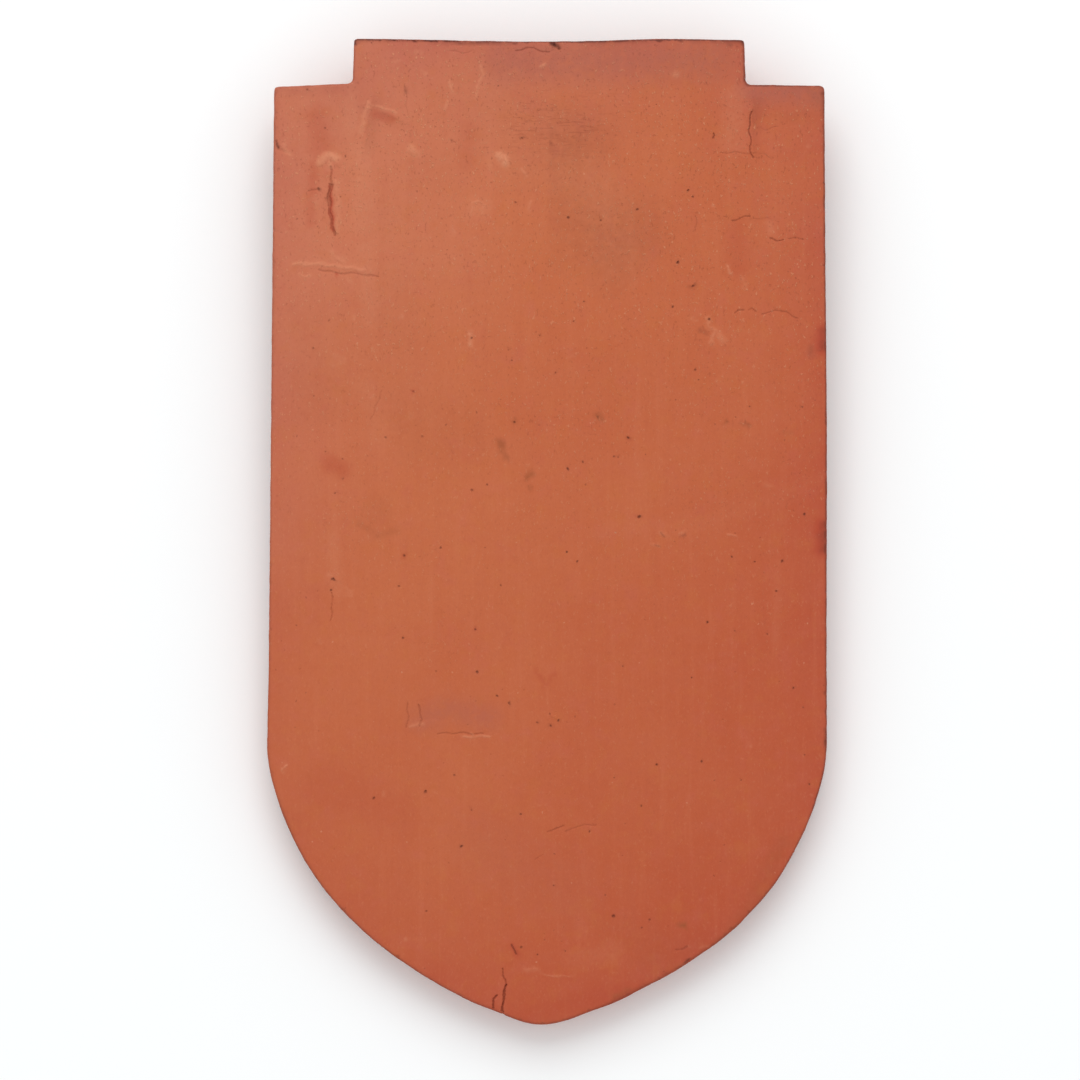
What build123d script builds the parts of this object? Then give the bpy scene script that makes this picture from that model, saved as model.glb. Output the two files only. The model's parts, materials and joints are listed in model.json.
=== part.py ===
from build123d import *
from math import asin, atan2, cos, degrees, hypot, radians, sin, tan
import os

# Plain clay roof tile with a notched head and a pointed-arch tail, pressed and fired in one piece.
# Sizes are in millimetres and angles in degrees.
# In the tile's own plane X runs across it and +Y up to the head. The bed, which faces the roof,
# lies at Z = 0, and Y = 0 is the springing line, where the straight sides meet the tail.

# Slab
tile_length = 300.0
tile_width = 170.2
side_slope = 0.37
slab_thickness = 12.0
arris_radius = 1.0

# Head: a tab stands up between two notched corners
tab_width = 118.6
tab_slope = 1.9
tab_depth = 13.6
corner_radius = 1.5

# Tail: on each side a shoulder, a flank and an end arc run tangent to the blunt point
shoulder_radius = 49.9
shoulder_turn = 14.8
flank_radius = 90.5
flank_turn = 41.0
end_radius = 174.6
point_radius = 29.0

# Nibs: a pair of lugs behind the head that hook over the roofing batten
nib_spacing = 112.0
nib_width = 22.0
nib_length = 18.0
nib_drop = 13.0
nib_setback = 18.5
nib_draft = 3.0
nib_back_slope = 30.0
nib_corner_radius = 3.0
nib_edge_radius = 2.0
nib_root_radius = 2.5

# The tail's arcs on the right side. Each radius swings down from the X axis as the side turns
# towards the point, and the point's own arc, centred on X = 0, closes the chain.
springing = Vector(tile_width / 2, 0)
side_heading = Vector(sin(radians(side_slope)), -cos(radians(side_slope)))
shoulder = JernArc(springing, side_heading, shoulder_radius, -shoulder_turn)
flank = JernArc(shoulder @ 1, shoulder % 1, flank_radius, -flank_turn)
flank_swing = shoulder_turn + flank_turn - side_slope
flank_end = flank @ 1
end_center_x = flank_end.X - end_radius * cos(radians(flank_swing))
end_swing = 90 + degrees(asin(end_center_x / (end_radius - point_radius)))
end = JernArc(flank_end, flank % 1, end_radius, flank_swing - end_swing)
point = JernArc(end @ 1, end % 1, point_radius, end_swing - 90)
tail_depth = -(point @ 1).Y

# Heights of the head's edges above the springing line, and its half widths
side_length = tile_length - tab_depth - tail_depth
head_y = side_length + tab_depth
ear_x = tile_width / 2 - side_length * tan(radians(side_slope))
tab_x = tab_width / 2
tab_foot_x = tab_x + tab_depth * tan(radians(tab_slope))

# A nib's profile: the hook face looks down the tile and bears on the batten, the back slopes
hook_y = head_y - nib_setback - nib_length
nib_back_y = head_y - nib_setback
nib_foot_hook_y = hook_y + nib_drop * tan(radians(nib_draft))
nib_foot_back_y = nib_back_y - nib_drop * tan(radians(nib_back_slope))


def slab_outline():
    """One face: the right half is drawn from the head to the point, then mirrored."""
    with BuildSketch() as outline:
        with BuildLine():
            head = Line((0, head_y), (tab_x, head_y))
            Polyline(head @ 1, (tab_foot_x, side_length), (ear_x, side_length), springing)
            add([shoulder, flank, end, point])
            Line(point @ 1, head @ 0)
        make_face()
        mirror(about=Plane.YZ)
        fillet([corner for corner in outline.vertices() if corner.Y > side_length / 2], corner_radius)
    return outline.sketch


def slab():
    """The flat body, with every arris of its two faces rounded."""
    with BuildPart() as body:
        add(slab_outline())
        extrude(amount=slab_thickness)
        fillet(body.faces().filter_by(Axis.Z).edges(), arris_radius)
    return body.part


def nib():
    """One lug on the middle line: its profile runs across the tile, its ends are drafted, its edges rounded."""
    with BuildPart() as lug:
        with BuildSketch(Plane.YZ):
            with BuildLine():
                root = Line((hook_y, 0), (nib_back_y, 0))
                Polyline(root @ 1, (nib_foot_back_y, -nib_drop), (nib_foot_hook_y, -nib_drop), root @ 0)
            make_face()
        extrude(amount=nib_width / 2, both=True)
        draft(lug.faces().filter_by(Axis.X), Plane.XY, -nib_draft)
        level_edges = lug.faces().filter_by(Axis.Z).edges()
        fillet([e for e in lug.edges() if e not in level_edges], nib_corner_radius)
        fillet(lug.faces().sort_by(Axis.Z)[0].edges(), nib_edge_radius)
    return lug.part


def flat_tile():
    """Slab and nibs in one body, with a fillet where each nib grows out of the bed."""
    with BuildPart() as tile:
        add(slab())
        with Locations((-nib_spacing / 2, 0), (nib_spacing / 2, 0)):
            add(nib())
        bed = [face for face in tile.faces().filter_by(Axis.Z) if face.inner_wires()][0]
        fillet(bed.inner_wires().edges(), nib_root_radius)
    return tile.part


def rest_tilt():
    """The slope at which the point's lower arris and the nibs' hook edges all touch a floor."""
    hook_edge_y = nib_foot_hook_y + nib_edge_radius / tan(radians((90 + nib_draft) / 2))
    run = hook_edge_y - (arris_radius - tail_depth)
    rise = arris_radius - (nib_edge_radius - nib_drop)
    return degrees(atan2(rise, run) + asin((nib_edge_radius - arris_radius) / hypot(run, rise)))


# The tile lies on its nibs and its point, as on a level floor, with its origin below its middle
resting = Rot(X=rest_tilt()) * flat_tile()
box = resting.bounding_box()
roof_tile = Pos(-box.center().X, -box.center().Y, -box.min.Z) * resting

os.makedirs("parts", exist_ok=True)
export_step(roof_tile, "parts/roof_tile.step")
print("rest tilt", round(rest_tilt(), 3), "tail depth", round(tail_depth, 2), "side length", round(side_length, 2))
print("volume in cm3", round(roof_tile.volume / 1000, 1), "box", roof_tile.bounding_box())
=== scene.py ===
import json
from math import asin, atan2, ceil, cos, pi, radians, sin, tan

import bmesh
import bpy
import numpy as np
from mathutils import Matrix, Vector, kdtree

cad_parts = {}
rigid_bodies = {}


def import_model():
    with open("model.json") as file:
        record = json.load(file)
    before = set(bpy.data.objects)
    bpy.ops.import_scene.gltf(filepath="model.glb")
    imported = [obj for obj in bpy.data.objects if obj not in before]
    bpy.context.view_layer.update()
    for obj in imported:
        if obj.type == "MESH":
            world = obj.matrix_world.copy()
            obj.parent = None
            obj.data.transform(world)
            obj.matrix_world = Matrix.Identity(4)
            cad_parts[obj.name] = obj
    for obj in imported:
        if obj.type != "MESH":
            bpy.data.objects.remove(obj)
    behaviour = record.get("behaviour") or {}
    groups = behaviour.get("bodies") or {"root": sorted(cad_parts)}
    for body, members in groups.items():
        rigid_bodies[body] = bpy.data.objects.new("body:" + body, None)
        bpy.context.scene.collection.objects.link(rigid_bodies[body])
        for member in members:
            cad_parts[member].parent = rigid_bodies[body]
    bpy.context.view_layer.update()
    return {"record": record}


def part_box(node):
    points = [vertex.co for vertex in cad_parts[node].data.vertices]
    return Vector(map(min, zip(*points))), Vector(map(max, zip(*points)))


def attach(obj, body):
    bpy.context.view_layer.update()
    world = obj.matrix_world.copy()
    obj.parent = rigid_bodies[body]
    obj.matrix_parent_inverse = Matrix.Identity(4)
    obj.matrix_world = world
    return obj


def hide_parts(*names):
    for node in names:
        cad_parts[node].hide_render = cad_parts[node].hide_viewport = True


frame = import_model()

# The slab, drawn lying flat
# One flat body of clay, pressed in a mould and struck off along its length. At the head a tab stands
# between two notched corners, and the tail was trimmed to a blunt arch while the clay was soft.

# Until the tile is laid down, X runs across it, +Y up to its head, and the bed is Z = 0. Y = 0 is the
# springing line, where the straight sides meet the tail. Lengths are in metres unless said otherwise.
MM = 0.001
mounts = {mount["name"]: mount for mount in frame["record"]["mounts"]}
face_normal = Vector(mounts["weather_face"]["axis"])
face_to_bed = Vector(mounts["weather_face"]["pos_m"]) - Vector(mounts["bed"]["pos_m"])
slab_thickness = face_to_bed.dot(face_normal)
low_corner, high_corner = (Vector(corner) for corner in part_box("roof_tile"))
half_width = (high_corner.x - low_corner.x) / 2
tile_length = 0.300
side_slope = radians(0.37)
arris_radius = 0.0010
tab_half_width = 0.0593
tab_slope = radians(1.9)
tab_depth = 0.0136
shoulder_radius = 0.0499
shoulder_turn = radians(14.8)
flank_radius = 0.0905
flank_turn = radians(41.0)
end_radius = 0.1746
point_radius = 0.0290
arc_chord = 0.0025

# Each arc's radius swings from the X axis round to the point, and the last arc closes the chain
flank_swing = shoulder_turn + flank_turn - side_slope
shoulder_center_x = half_width - shoulder_radius * cos(side_slope)
flank_center_x = shoulder_center_x + (shoulder_radius - flank_radius) * cos(shoulder_turn - side_slope)
end_center_x = flank_center_x + (flank_radius - end_radius) * cos(flank_swing)
end_swing = pi / 2 + asin(end_center_x / (end_radius - point_radius))
tail_arcs = (
    (shoulder_radius, shoulder_turn),
    (flank_radius, flank_turn),
    (end_radius, end_swing - flank_swing),
    (point_radius, pi / 2 - end_swing),
)
hair = 0.0001


def alone(thing):
    """Select one object and make it active, so that an operator acts on nothing else."""
    bpy.ops.object.select_all(action="DESELECT")
    thing.select_set(True)
    bpy.context.view_layer.objects.active = thing


def pick(test):
    """In edit mode, select the corners whose place passes the test, with what lies between them."""
    bpy.ops.mesh.select_mode(type="VERT")
    bpy.ops.mesh.select_all(action="DESELECT")
    form = bmesh.from_edit_mesh(bpy.context.edit_object.data)
    for corner in form.verts:
        corner.select = test(corner.co)
    form.select_flush_mode()
    bmesh.update_edit_mesh(bpy.context.edit_object.data)


def trim_tail_side(hand):
    """Spin one side of the tail, arc by arc, from the springing line to the point; hand is 1 or -1."""
    pick(lambda place: abs(place.y) < hair and abs(place.x - hand * half_width) < hair)
    swing = side_slope
    end = Vector((half_width, 0.0))
    for radius, turn in tail_arcs:
        center = end - radius * Vector((cos(swing), sin(swing)))
        bpy.ops.mesh.spin(
            steps=ceil(radius * turn / arc_chord),
            angle=turn,
            center=(hand * center.x, center.y, 0.0),
            axis=(0.0, 0.0, hand),
        )
        swing -= turn
        end = center + radius * Vector((cos(swing), sin(swing)))
    return -end.y


bpy.ops.object.select_all(action="DESELECT")
bpy.ops.mesh.primitive_plane_add(size=1.0, location=(0.0, 0.0, 0.0))
tile = bpy.context.active_object
tile.name = "fired_tile"
bpy.ops.object.mode_set(mode="EDIT")
pick(lambda place: place.y < 0)
bpy.ops.transform.resize(value=(2 * half_width, 1.0, 1.0))
bpy.ops.transform.translate(value=(0.0, 0.5, 0.0))
tail_depth = trim_tail_side(1)
trim_tail_side(-1)
pick(lambda place: place.y < hair - tail_depth)
bpy.ops.mesh.remove_doubles(threshold=hair)
pick(lambda place: place.y < hair)
bpy.ops.mesh.edge_face_add()

side_length = tile_length - tab_depth - tail_depth
head_y = side_length + tab_depth
ear_half_width = half_width - side_length * tan(side_slope)
tab_foot_half_width = tab_half_width + tab_depth * tan(tab_slope)
pick(lambda place: place.y > hair)
bpy.ops.transform.resize(value=(2 * ear_half_width, 1.0, 1.0))
bpy.ops.transform.translate(value=(0.0, side_length - 0.5, 0.0))
for hand in (-1, 1):
    bpy.ops.mesh.select_all(action="SELECT")
    bpy.ops.mesh.bisect(plane_co=(hand * tab_foot_half_width, 0.0, 0.0), plane_no=(1.0, 0.0, 0.0))
pick(lambda place: place.y > side_length - hair and abs(place.x) < tab_foot_half_width + hair)
bpy.ops.mesh.extrude_region_move(TRANSFORM_OT_translate={"value": (0.0, tab_depth, 0.0)})
bpy.ops.transform.resize(value=(tab_half_width / tab_foot_half_width, 1.0, 1.0))
bpy.ops.mesh.select_all(action="SELECT")
bpy.ops.mesh.dissolve_faces()

# The trimming was by eye: the ears fall away, the head dips, the point leans to one side, and the
# edges stray. A stray is a place on the outline, its shift in X and Y and its reach, in millimetres.
head_cuts = 28
side_cuts = 16
corner_steps = 4
ear_fall = {-1: 0.0011, 1: 0.0003}
point_lean = 0.0016
point_lean_reach = 0.052
corner_radius = {
    "ear": {-1: 0.0009, 1: 0.0014},
    "notch": {-1: 0.0009, 1: 0.0008},
    "tab": {-1: 0.0006, 1: 0.0008},
}
strays = (
    (-8.0, 214.0, 0.0, -0.7, 48.0),
    (33.0, 214.0, 0.0, 0.3, 26.0),
    (-59.3, 214.0, -0.2, 0.0, 6.0),
    (-59.8, 200.4, -0.15, 0.0, 6.0),
    (84.6, 90.0, 0.32, 0.0, 75.0),
    (-85.0, 0.0, -0.28, 0.0, 22.0),
    (84.0, -12.0, -0.2, 0.05, 14.0),
    (77.0, -30.0, -0.3, 0.15, 18.0),
    (62.0, -51.0, -0.15, 0.12, 16.0),
    (47.0, -64.0, -0.2, 0.3, 16.0),
    (29.0, -75.0, -0.1, 0.32, 14.0),
    (10.0, -83.0, -0.1, 0.5, 13.0),
    (-14.0, -82.0, 0.1, 0.48, 12.0),
    (-60.0, -54.0, 0.12, 0.15, 18.0),
)


def near(x, y):
    """A test for pick: the corners within a hair of one place on the outline."""
    return lambda place: abs(place.x - x) < hair and abs(place.y - y) < hair


pick(lambda place: place.y > head_y - hair)
bpy.ops.mesh.subdivide(number_cuts=head_cuts)
pick(lambda place: abs(place.x) > ear_half_width - hair and place.y > -hair)
bpy.ops.mesh.subdivide(number_cuts=side_cuts)
for hand in (-1, 1):
    rounded = (
        ("tab", hand * tab_half_width, head_y),
        ("notch", hand * tab_foot_half_width, side_length),
        ("ear", hand * ear_half_width, side_length),
    )
    for corner, x, y in rounded:
        pick(near(x, y))
        if corner == "ear":
            bpy.ops.transform.translate(value=(0.0, -ear_fall[hand], 0.0))
        bpy.ops.mesh.bevel(
            offset=corner_radius[corner][hand], segments=corner_steps, affect="VERTICES",
        )
pick(near(0.0, -tail_depth))
bpy.ops.transform.translate(
    value=(-point_lean, 0.0, 0.0),
    use_proportional_edit=True,
    proportional_edit_falloff="LINEAR",
    proportional_size=point_lean_reach,
)
for x, y, shift_x, shift_y, reach in strays:
    place = Vector((x, y, 0.0)) * MM
    corners = [corner.co.copy() for corner in bmesh.from_edit_mesh(tile.data).verts]
    nearest = min(corners, key=lambda corner: (corner - place).length)
    pick(near(nearest.x, nearest.y))
    bpy.ops.transform.translate(
        value=(shift_x * MM, shift_y * MM, 0.0),
        use_proportional_edit=True,
        proportional_edit_falloff="SMOOTH",
        proportional_size=reach * MM,
    )

# The outline becomes a slab, and every arris is rubbed round
arris_steps = 3
bpy.ops.mesh.select_all(action="SELECT")
bpy.ops.mesh.extrude_region_move(TRANSFORM_OT_translate={"value": (0.0, 0.0, slab_thickness)})
bpy.ops.mesh.select_all(action="SELECT")
bpy.ops.mesh.normals_make_consistent(inside=False)
for level in (0.0, slab_thickness):
    pick(lambda place: abs(place.z - level) < hair)
    bpy.ops.mesh.bevel(offset=arris_radius, segments=arris_steps, affect="EDGES")
bpy.ops.object.mode_set(mode="OBJECT")

# The nibs
# Two lugs pressed with the slab from the same clay, behind the head. Each has a nearly square hook
# face that bears on the roofing batten, a back that slopes away and rounded edges.
nib_spacing = 0.112
nib_width = 0.022
nib_length = 0.018
nib_drop = 0.013
nib_setback = 0.0185
nib_draft = radians(3.0)
nib_back_slope = radians(30.0)
nib_corner_radius = 0.0030
nib_edge_radius = 0.0020
nib_root_depth = 0.0040
nib_back_y = head_y - nib_setback
hook_y = nib_back_y - nib_length
nib_middle_y = (hook_y + nib_back_y) / 2
nib_steps = 4


def press_nib(x):
    """One lug from a cube: its foot is drawn in on every side, and its root is let into the slab."""
    bpy.ops.object.select_all(action="DESELECT")
    bpy.ops.mesh.primitive_cube_add(size=1.0, location=(0.0, 0.0, 0.0))
    lug = bpy.context.active_object
    bpy.ops.object.mode_set(mode="EDIT")
    bpy.ops.transform.resize(value=(nib_width, nib_length, nib_drop))
    bpy.ops.transform.translate(value=(x, nib_middle_y, -nib_drop / 2))
    foot = -nib_drop + hair
    pick(lambda place: place.z < foot)
    bpy.ops.transform.resize(value=(1 - 2 * nib_drop * tan(nib_draft) / nib_width, 1.0, 1.0))
    pick(lambda place: place.z < foot and place.y > hook_y + hair)
    bpy.ops.transform.translate(value=(0.0, -nib_drop * tan(nib_back_slope), 0.0))
    pick(lambda place: place.z < foot and place.y < hook_y + hair)
    bpy.ops.transform.translate(value=(0.0, nib_drop * tan(nib_draft), 0.0))
    split_y = hook_y + nib_length / 4
    for side_x in (-1, 1):
        for side_y in (-1, 1):
            pick(lambda place: (place.x - x) * side_x > 0 and (place.y - split_y) * side_y > 0)
            bpy.ops.mesh.select_mode(type="EDGE")
            bpy.ops.mesh.bevel(offset=nib_corner_radius, segments=nib_steps, affect="EDGES")
    pick(lambda place: place.z < foot)
    bpy.ops.mesh.bevel(offset=nib_edge_radius, segments=nib_steps, affect="EDGES")
    pick(lambda place: place.z > -hair)
    bpy.ops.mesh.extrude_region_move(TRANSFORM_OT_translate={"value": (0.0, 0.0, nib_root_depth)})
    bpy.ops.mesh.select_all(action="SELECT")
    bpy.ops.mesh.normals_make_consistent(inside=False)
    bpy.ops.object.mode_set(mode="OBJECT")
    return lug


lugs = [press_nib(hand * nib_spacing / 2) for hand in (-1, 1)]

# One body of clay
# Slab and nibs left the press as one skin, with the clay drawn into a small hollow round each nib.
# Drying and firing then left the whole body very slightly out of true and its skin a little uneven.
skin_grid = 0.0007
root_reach = 0.0030
root_rounds = 24
warp_height = 0.0005
warp_wave = 0.055
skin_height = 0.00005
skin_wave = 0.0016
side_height = 0.00035
side_wave = 0.0050


def finish_with(kind, **settings):
    """Add one modifier to the tile, set it up and apply it."""
    alone(tile)
    bpy.ops.object.modifier_add(type=kind)
    modifier = tile.modifiers[-1]
    for name, value in settings.items():
        setattr(modifier, name, value)
    bpy.ops.object.modifier_apply(modifier=modifier.name)


def places_of(mesh):
    """The place of every corner of a mesh, as rows of X, Y and Z."""
    places = np.empty(3 * len(mesh.vertices))
    mesh.vertices.foreach_get("co", places)
    return places.reshape(-1, 3)


def weigh(name, weights):
    """Give the tile a vertex group in which each corner has the weight that stands at its number."""
    group = tile.vertex_groups.new(name=name)
    for number in np.flatnonzero(weights > 0.001):
        group.add([int(number)], float(weights[number]), "REPLACE")


def swell(name, height, wave):
    """Raise and lower the skin by half a height either way, in clouds about one wave across."""
    clouds = bpy.data.textures.new(name, "CLOUDS")
    clouds.noise_scale = wave
    clouds.noise_depth = 2
    return {"texture": clouds, "texture_coords": "LOCAL", "strength": height, "mid_level": 0.5}


alone(tile)
for lug in lugs:
    lug.select_set(True)
bpy.ops.object.join()
finish_with("REMESH", mode="VOXEL", voxel_size=skin_grid)

places = places_of(tile.data)
across_root = np.abs(np.abs(places[:, 0]) - nib_spacing / 2) - nib_width / 2
along_root = np.abs(places[:, 1] - nib_middle_y) - nib_length / 2
beside_root = np.maximum(across_root, along_root)
root = np.clip(1 - np.hypot(beside_root, places[:, 2]) / root_reach, 0, 1)
weigh("root", np.sqrt(root))
finish_with("SMOOTH", factor=0.5, iterations=root_rounds, vertex_group="root")

level = np.abs(places[:, 2] - slab_thickness / 2)
weigh("sides", np.clip((slab_thickness / 2 - level) / arris_radius - 0.5, 0, 1))
finish_with("DISPLACE", direction="Z", **swell("warp", warp_height, warp_wave))
finish_with("DISPLACE", vertex_group="sides", **swell("drag", side_height, side_wave))
finish_with("DISPLACE", **swell("skin", skin_height, skin_wave))

# Marks on the weather face
# The soft clay was gouged, torn, smeared and dented in the pressing and trimming, and the arris was
# chipped since. Places, widths, depths and heights are in millimetres on the slab. A place without a
# height of its own lies on the weather face.
cuts = (
    ([(-66.4, 174.8), (-66.2, 170.0)], 0.9, 0.35),
    ([(-66.4, 169.5), (-66.9, 166.5), (-66.9, 163.0)], 1.7, 0.75),
    ([(-66.8, 163.0), (-66.3, 159.0), (-65.2, 154.3)], 1.2, 0.5),
    ([(-55.0, 195.8), (-56.3, 193.4)], 0.6, 0.15),
    ([(-70.0, 143.6), (-64.0, 142.5), (-58.0, 142.4), (-52.0, 141.4)], 1.0, 0.2),
    ([(-10.0, 210.3), (-8.0, 211.0), (-5.0, 211.2), (-2.5, 210.4), (0.0, 209.8)], 0.7, 0.3),
    ([(61.6, 192.0), (60.9, 189.0), (60.9, 186.0), (61.4, 182.5), (61.1, 179.5), (62.0, 178.0)], 0.7, 0.4),
    ([(62.3, 190.5), (62.6, 187.0), (62.2, 185.0)], 0.5, 0.2),
    ([(52.0, 179.5), (56.5, 179.6), (61.0, 179.3), (66.0, 179.4), (67.5, 177.4)], 0.6, 0.16),
    ([(62.5, 188.2), (65.5, 186.6), (69.5, 187.6)], 0.7, 0.12),
    ([(53.2, 160.2), (54.2, 159.6)], 0.6, 0.2),
    ([(55.8, 159.0), (57.3, 159.2), (59.4, 160.1), (61.0, 160.0)], 0.8, 0.28),
    ([(62.0, 159.8), (64.5, 159.4), (67.0, 159.7)], 0.6, 0.15),
    ([(67.0, 153.5), (69.5, 152.9), (71.2, 153.1)], 0.7, 0.35),
    ([(73.0, 153.2), (75.5, 153.8), (77.5, 153.2)], 0.6, 0.22),
    ([(44.8, 160.2), (44.7, 155.6)], 0.5, 0.14),
    ([(56.8, 130.6), (57.8, 131.4), (59.5, 131.8)], 0.8, 0.26),
    ([(60.8, 131.8), (62.0, 132.1), (63.2, 131.0)], 0.8, 0.26),
    ([(65.0, 130.6), (69.0, 131.4), (72.5, 131.4), (74.0, 129.8), (75.6, 129.4)], 0.8, 0.2),
    ([(-50.6, 106.8), (-52.0, 103.5), (-53.0, 100.5), (-54.0, 98.0)], 0.7, 0.16),
    ([(-42.8, 12.0), (-42.4, 8.0), (-42.8, 4.5)], 0.7, 0.2),
    ([(-39.1, 11.5), (-39.0, 9.0), (-38.0, 7.0), (-39.2, 4.8)], 0.8, 0.28),
    ([(-33.5, 2.5), (-26.7, 2.7), (-19.4, 2.4)], 0.8, 0.2),
    ([(-65.7, 45.5), (-65.6, 41.0), (-66.0, 37.0)], 0.6, 0.26),
    ([(0.3, -27.3), (2.8, -25.9), (5.0, -25.4)], 0.7, 0.22),
    ([(5.7, -27.3), (9.0, -25.5), (14.8, -25.0)], 0.7, 0.14),
    ([(-3.6, -35.6), (-1.4, -34.2)], 0.6, 0.12),
    ([(-10.8, -61.5), (-10.2, -63.0), (-9.5, -64.5)], 0.8, 0.25),
    ([(-13.6, -69.0), (-13.0, -71.5), (-12.4, -74.0)], 0.7, 0.5),
    ([(-12.4, -74.0), (-13.2, -78.0), (-13.5, -83.0), (-13.5, -83.4, 8.0)], 1.0, 0.9),
    ([(-15.0, -77.2), (-16.2, -78.0), (-16.5, -80.0), (-16.0, -82.5)], 0.9, 0.7),
    ([(39.5, -63.2), (42.5, -62.2)], 0.9, 0.2),
    ([(-73.0, 167.6), (-70.4, 167.8)], 0.9, 0.2),
    ([(50.2, 185.4), (50.3, 184.6), (49.8, 183.8)], 0.7, 0.35),
    ([(-43.6, 198.0), (-43.4, 194.0), (-43.2, 190.5)], 0.5, 0.12),
    ([(-30.2, 183.2), (-28.6, 182.6)], 0.7, 0.2),
    ([(-30.0, 210.4), (-26.5, 209.6), (-24.0, 210.2)], 0.6, 0.15),
)
ledges = (
    ([(-56.3, 181.5), (-55.8, 187.5), (-54.6, 192.6)], 5.5, 0.22),
    ([(-54.6, 192.9), (-51.0, 191.9), (-46.4, 190.0)], 5.0, 0.2),
    ([(62.0, 178.0), (61.2, 185.0), (61.4, 191.8)], 6.5, 0.2),
    ([(61.4, 191.8), (66.0, 191.4), (73.0, 192.0)], 8.0, 0.07),
    ([(52.0, 159.6), (60.0, 159.8), (67.0, 159.8)], 6.0, 0.12),
    ([(67.0, 159.8), (67.2, 154.0)], 4.0, 0.12),
    ([(-33.0, 6.2), (-38.5, 6.4)], 4.0, 0.12),
)
dabs = (
    ([(-70.0, 176.2), (-68.6, 177.6), (-66.6, 178.3), (-64.9, 177.5), (-64.2, 176.0)], 3.2, 0.3),
    ([(-67.0, 176.6), (-66.6, 175.0)], 2.0, 0.21),
    ([(-65.0, 170.5), (-64.2, 165.0), (-64.2, 160.0), (-64.6, 155.0)], 1.8, 0.2),
    ([(-68.2, 168.0), (-68.2, 160.0)], 1.2, 0.14),
    ([(-77.5, 145.2), (-70.0, 145.3), (-62.0, 144.3), (-56.0, 143.4)], 1.7, 0.17),
    ([(-65.8, 149.0), (-64.6, 147.0), (-62.6, 145.8)], 1.6, 0.14),
    ([(-75.8, 142.2), (-74.4, 141.4), (-72.6, 142.0)], 1.0, 0.12),
    ([(-55.0, 194.5), (-56.4, 190.0), (-57.0, 186.0)], 1.8, 0.14),
    ([(-54.0, 193.8), (-50.0, 192.7), (-46.5, 191.4)], 1.2, 0.1),
    ([(-15.0, 178.4), (-14.2, 177.8), (-13.4, 176.6)], 3.6, 0.4),
    ([(-20.8, 205.6), (-20.4, 203.0), (-22.0, 199.0), (-22.4, 196.5)], 1.2, 0.14),
    ([(-30.4, 201.0), (-29.7, 198.0)], 1.1, 0.15),
    ([(-30.8, 195.0), (-31.8, 192.4)], 1.1, 0.14),
    ([(-42.0, 180.4), (-40.6, 179.2)], 3.0, 0.22),
    ([(-80.8, 181.6), (-80.2, 179.6), (-79.0, 178.6)], 1.8, 0.14),
    ([(-2.4, 205.4), (-1.4, 206.2)], 1.3, 0.17),
    ([(-5.2, 164.6), (-6.2, 162.4)], 1.0, 0.1),
    ([(-8.2, 174.2), (-7.0, 172.4)], 1.4, 0.1),
    ([(-23.6, 161.0), (-23.4, 163.6), (-21.6, 164.8), (-19.6, 163.6), (-20.6, 160.6)], 1.3, 0.1),
    ([(54.6, 144.6), (54.8, 143.2)], 1.2, 0.17),
    ([(48.4, 129.0), (49.0, 126.5), (50.4, 125.4), (49.6, 121.6)], 2.0, 0.14),
    ([(52.4, 123.8), (53.4, 122.6)], 2.6, 0.12),
    ([(34.5, 64.0), (36.0, 63.4)], 1.8, 0.12),
    ([(40.5, 63.9), (42.0, 64.4)], 1.6, 0.1),
    ([(31.5, 60.6), (33.5, 59.8)], 1.6, 0.1),
    ([(-25.5, 1.6), (-17.7, 1.8)], 1.1, 0.12),
    ([(-23.2, 2.8), (-22.6, 2.3)], 1.2, 0.21),
    ([(-41.8, 4.4), (-38.0, 5.4)], 1.2, 0.09),
    ([(-80.6, -8.8), (-79.6, -7.2)], 0.9, 0.14),
    ([(-6.8, -69.0), (-3.0, -69.2)], 0.9, 0.07),
    ([(-1.3, -70.7), (4.0, -71.2), (8.6, -71.2)], 0.8, 0.07),
    ([(0.8, 8.4), (2.4, 7.6)], 1.2, 0.14),
    ([(55.0, 63.2), (57.4, 63.0)], 1.2, 0.12),
    ([(-24.6, 124.0), (-24.5, 121.0)], 1.2, 0.12),
)
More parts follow.
